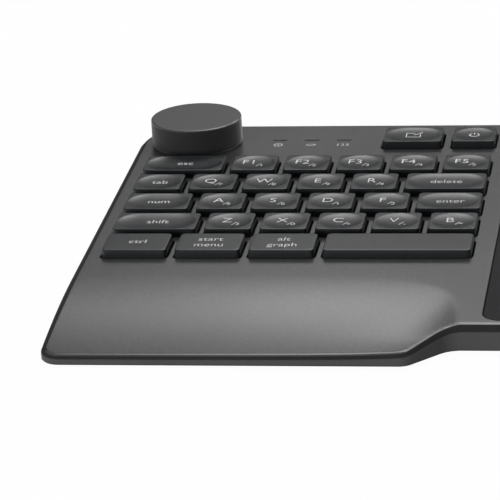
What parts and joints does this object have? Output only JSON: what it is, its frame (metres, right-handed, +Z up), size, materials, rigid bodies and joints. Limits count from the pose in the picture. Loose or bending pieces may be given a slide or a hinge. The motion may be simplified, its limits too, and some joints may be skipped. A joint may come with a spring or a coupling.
{
  "type": "graphics tablet",
  "caption": "Slim drawing tablet with a keyboard block for the left hand, a turning dial, status lights and a sloping palm rest beside the pad.",
  "frame": {"origin": "on the desk, under the middle of the body's width and depth", "axes": "+X to the right as its user sees it, +Y to the back, +Z up"},
  "size_m": [0.418, 0.2, 0.0182],
  "materials": {
    "case_plastic": "fine matt grain, dark grey",
    "base_plastic": "matt, dark grey",
    "key_plastic": "smooth satin, dark grey",
    "dial_plastic": "fine matt, dark grey",
    "pad_film": "fine paper-like texture, near black",
    "foot_rubber": "matt black",
    "dome_rubber": "translucent white",
    "steel": "plain",
    "board": "green solder resist",
    "inner_plastic": "black moulding",
    "film": "clear amber film",
    "light_plastic": "smoked clear plastic",
    "battery_foil": "matt foil"
  },
  "bodies": {
    "case": {"top_cover": "case_plastic", "bottom_cover": "base_plastic", "rubber_feet": "foot_rubber", "drawing_pad": "pad_film", "sensor_board": "board", "sensor_shield": "steel", "key_backplate": "steel", "key_membrane": "film", "dome_sheet": "dome_rubber", "key_guide_plate": "inner_plastic", "dial_encoder": "inner_plastic", "dial_nut": "steel", "control_board": "board", "status_leds": "light_plastic", "light_guide": "light_plastic", "socket_shell": "steel", "socket_insert": "inner_plastic", "sensor_ribbon": "film", "battery": "battery_foil", "battery_lead": "inner_plastic"},
    "dial": {"dial_knob": "dial_plastic", "dial_shaft": "steel"},
    "mode_button": {"mode_button": "key_plastic"},
    "power_button": {"power_button": "key_plastic"},
    "escape_key": {"escape_key": "key_plastic"},
    "key_1": {"key_1": "key_plastic"},
    "key_2": {"key_2": "key_plastic"},
    "key_3": {"key_3": "key_plastic"},
    "key_4": {"key_4": "key_plastic"},
    "key_5": {"key_5": "key_plastic"},
    "tab_key": {"tab_key": "key_plastic"},
    "q_key": {"q_key": "key_plastic"},
    "w_key": {"w_key": "key_plastic"},
    "e_key": {"e_key": "key_plastic"},
    "r_key": {"r_key": "key_plastic"},
    "delete_key": {"delete_key": "key_plastic"},
    "number_key": {"number_key": "key_plastic"},
    "a_key": {"a_key": "key_plastic"},
    "s_key": {"s_key": "key_plastic"},
    "d_key": {"d_key": "key_plastic"},
    "f_key": {"f_key": "key_plastic"},
    "enter_key": {"enter_key": "key_plastic"},
    "shift_key": {"shift_key": "key_plastic"},
    "z_key": {"z_key": "key_plastic"},
    "x_key": {"x_key": "key_plastic"},
    "c_key": {"c_key": "key_plastic"},
    "v_key": {"v_key": "key_plastic"},
    "b_key": {"b_key": "key_plastic"},
    "control_key": {"control_key": "key_plastic"},
    "start_key": {"start_key": "key_plastic"},
    "alt_key": {"alt_key": "key_plastic"},
    "space_key": {"space_key": "key_plastic"}
  },
  "joints": [
    {"name": "mode_button_press", "type": "slide", "parent": "case", "child": "mode_button", "axis": [0, 0, -1], "range_m": [0, 0.0015], "stiffness_N_per_m": 300, "springref_m": -0.001, "deforming": ["dome_sheet"]},
    {"name": "power_button_press", "type": "slide", "parent": "case", "child": "power_button", "axis": [0, 0, -1], "range_m": [0, 0.0015], "stiffness_N_per_m": 300, "springref_m": -0.001, "deforming": ["dome_sheet"]},
    {"name": "escape_key_press", "type": "slide", "parent": "case", "child": "escape_key", "axis": [0, 0, -1], "range_m": [0, 0.0015], "stiffness_N_per_m": 300, "springref_m": -0.001, "deforming": ["dome_sheet"]},
    {"name": "key_1_press", "type": "slide", "parent": "case", "child": "key_1", "axis": [0, 0, -1], "range_m": [0, 0.0015], "stiffness_N_per_m": 300, "springref_m": -0.001, "deforming": ["dome_sheet"]},
    {"name": "key_2_press", "type": "slide", "parent": "case", "child": "key_2", "axis": [0, 0, -1], "range_m": [0, 0.0015], "stiffness_N_per_m": 300, "springref_m": -0.001, "deforming": ["dome_sheet"]},
    {"name": "key_3_press", "type": "slide", "parent": "case", "child": "key_3", "axis": [0, 0, -1], "range_m": [0, 0.0015], "stiffness_N_per_m": 300, "springref_m": -0.001, "deforming": ["dome_sheet"]},
    {"name": "key_4_press", "type": "slide", "parent": "case", "child": "key_4", "axis": [0, 0, -1], "range_m": [0, 0.0015], "stiffness_N_per_m": 300, "springref_m": -0.001, "deforming": ["dome_sheet"]},
    {"name": "key_5_press", "type": "slide", "parent": "case", "child": "key_5", "axis": [0, 0, -1], "range_m": [0, 0.0015], "stiffness_N_per_m": 300, "springref_m": -0.001, "deforming": ["dome_sheet"]},
    {"name": "tab_key_press", "type": "slide", "parent": "case", "child": "tab_key", "axis": [0, 0, -1], "range_m": [0, 0.0015], "stiffness_N_per_m": 300, "springref_m": -0.001, "deforming": ["dome_sheet"]},
    {"name": "q_key_press", "type": "slide", "parent": "case", "child": "q_key", "axis": [0, 0, -1], "range_m": [0, 0.0015], "stiffness_N_per_m": 300, "springref_m": -0.001, "deforming": ["dome_sheet"]},
    {"name": "w_key_press", "type": "slide", "parent": "case", "child": "w_key", "axis": [0, 0, -1], "range_m": [0, 0.0015], "stiffness_N_per_m": 300, "springref_m": -0.001, "deforming": ["dome_sheet"]},
    {"name": "e_key_press", "type": "slide", "parent": "case", "child": "e_key", "axis": [0, 0, -1], "range_m": [0, 0.0015], "stiffness_N_per_m": 300, "springref_m": -0.001, "deforming": ["dome_sheet"]},
    {"name": "r_key_press", "type": "slide", "parent": "case", "child": "r_key", "axis": [0, 0, -1], "range_m": [0, 0.0015], "stiffness_N_per_m": 300, "springref_m": -0.001, "deforming": ["dome_sheet"]},
    {"name": "delete_key_press", "type": "slide", "parent": "case", "child": "delete_key", "axis": [0, 0, -1], "range_m": [0, 0.0015], "stiffness_N_per_m": 300, "springref_m": -0.001, "deforming": ["dome_sheet"]},
    {"name": "number_key_press", "type": "slide", "parent": "case", "child": "number_key", "axis": [0, 0, -1], "range_m": [0, 0.0015], "stiffness_N_per_m": 300, "springref_m": -0.001, "deforming": ["dome_sheet"]},
    {"name": "a_key_press", "type": "slide", "parent": "case", "child": "a_key", "axis": [0, 0, -1], "range_m": [0, 0.0015], "stiffness_N_per_m": 300, "springref_m": -0.001, "deforming": ["dome_sheet"]},
    {"name": "s_key_press", "type": "slide", "parent": "case", "child": "s_key", "axis": [0, 0, -1], "range_m": [0, 0.0015], "stiffness_N_per_m": 300, "springref_m": -0.001, "deforming": ["dome_sheet"]},
    {"name": "d_key_press", "type": "slide", "parent": "case", "child": "d_key", "axis": [0, 0, -1], "range_m": [0, 0.0015], "stiffness_N_per_m": 300, "springref_m": -0.001, "deforming": ["dome_sheet"]},
    {"name": "f_key_press", "type": "slide", "parent": "case", "child": "f_key", "axis": [0, 0, -1], "range_m": [0, 0.0015], "stiffness_N_per_m": 300, "springref_m": -0.001, "deforming": ["dome_sheet"]},
    {"name": "enter_key_press", "type": "slide", "parent": "case", "child": "enter_key", "axis": [0, 0, -1], "range_m": [0, 0.0015], "stiffness_N_per_m": 300, "springref_m": -0.001, "deforming": ["dome_sheet"]},
    {"name": "shift_key_press", "type": "slide", "parent": "case", "child": "shift_key", "axis": [0, 0, -1], "range_m": [0, 0.0015], "stiffness_N_per_m": 300, "springref_m": -0.001, "deforming": ["dome_sheet"]},
    {"name": "z_key_press", "type": "slide", "parent": "case", "child": "z_key", "axis": [0, 0, -1], "range_m": [0, 0.0015], "stiffness_N_per_m": 300, "springref_m": -0.001, "deforming": ["dome_sheet"]},
    {"name": "x_key_press", "type": "slide", "parent": "case", "child": "x_key", "axis": [0, 0, -1], "range_m": [0, 0.0015], "stiffness_N_per_m": 300, "springref_m": -0.001, "deforming": ["dome_sheet"]},
    {"name": "c_key_press", "type": "slide", "parent": "case", "child": "c_key", "axis": [0, 0, -1], "range_m": [0, 0.0015], "stiffness_N_per_m": 300, "springref_m": -0.001, "deforming": ["dome_sheet"]},
    {"name": "v_key_press", "type": "slide", "parent": "case", "child": "v_key", "axis": [0, 0, -1], "range_m": [0, 0.0015], "stiffness_N_per_m": 300, "springref_m": -0.001, "deforming": ["dome_sheet"]},
    {"name": "b_key_press", "type": "slide", "parent": "case", "child": "b_key", "axis": [0, 0, -1], "range_m": [0, 0.0015], "stiffness_N_per_m": 300, "springref_m": -0.001, "deforming": ["dome_sheet"]},
    {"name": "control_key_press", "type": "slide", "parent": "case", "child": "control_key", "axis": [0, 0, -1], "range_m": [0, 0.0015], "stiffness_N_per_m": 300, "springref_m": -0.001, "deforming": ["dome_sheet"]},
    {"name": "start_key_press", "type": "slide", "parent": "case", "child": "start_key", "axis": [0, 0, -1], "range_m": [0, 0.0015], "stiffness_N_per_m": 300, "springref_m": -0.001, "deforming": ["dome_sheet"]},
    {"name": "alt_key_press", "type": "slide", "parent": "case", "child": "alt_key", "axis": [0, 0, -1], "range_m": [0, 0.0015], "stiffness_N_per_m": 300, "springref_m": -0.001, "deforming": ["dome_sheet"]},
    {"name": "space_key_press", "type": "slide", "parent": "case", "child": "space_key", "axis": [0, 0, -1], "range_m": [0, 0.0015], "stiffness_N_per_m": 300, "springref_m": -0.001, "deforming": ["dome_sheet"]},
    {"name": "dial_turn", "type": "hinge", "parent": "case", "child": "dial", "pos_m": [-0.18855, 0.0799, 0], "axis": [0, 0, 1], "continuous": true}
  ]
}
